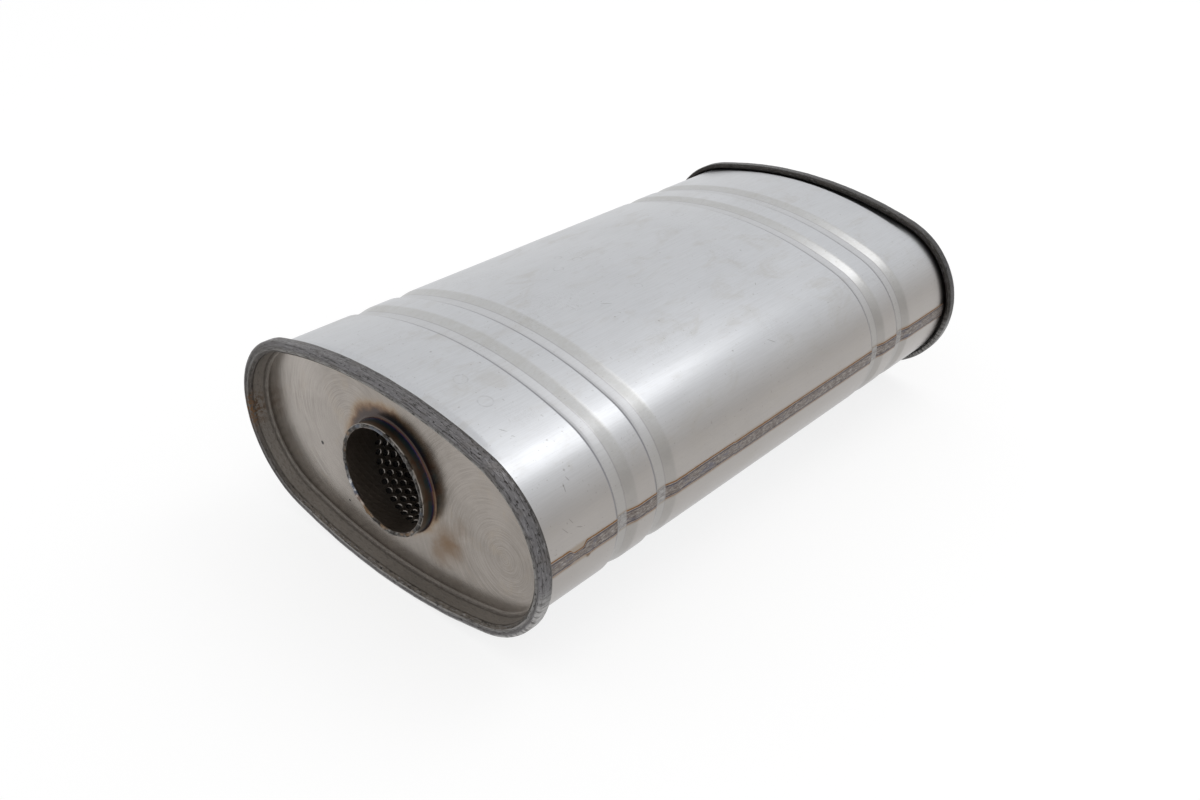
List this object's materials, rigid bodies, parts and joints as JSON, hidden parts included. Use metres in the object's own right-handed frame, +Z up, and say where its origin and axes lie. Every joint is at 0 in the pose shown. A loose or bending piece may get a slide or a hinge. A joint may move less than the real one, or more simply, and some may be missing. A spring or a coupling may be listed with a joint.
{
  "type": "exhaust resonator",
  "caption": "Oval straight-through exhaust resonator with rolled rims, grooved stainless shell, dished end caps and a perforated core tube open at both ends.",
  "frame": {"origin": "centre of the body, on the axis of the core tube", "axes": "+Y along the core tube towards the rear end, +X the long way across the oval towards the long seam, +Z up with the part lying flat"},
  "size_m": [0.2384, 0.395, 0.127],
  "materials": {
    "shell_steel": "bright brushed stainless, lightly smudged",
    "seam_weld": "dull ground weld with heat tint",
    "cap_steel": "satin stainless, dull rolled rim",
    "core_steel": "heat-browned stainless",
    "mouth_weld": "uneven fused edge",
    "baffle_steel": "plain pressed sheet",
    "packing": "loose mineral fibre"
  },
  "bodies": {
    "root": {"shell": "shell_steel", "shell_seam_weld": "seam_weld", "front_end_cap": "cap_steel", "rear_end_cap": "cap_steel", "perforated_core_tube": "core_steel", "front_mouth_weld": "mouth_weld", "rear_mouth_weld": "mouth_weld", "front_baffle": "baffle_steel", "rear_baffle": "baffle_steel", "front_packing": "packing", "middle_packing": "packing", "rear_packing": "packing"}
  },
  "joints": []
}
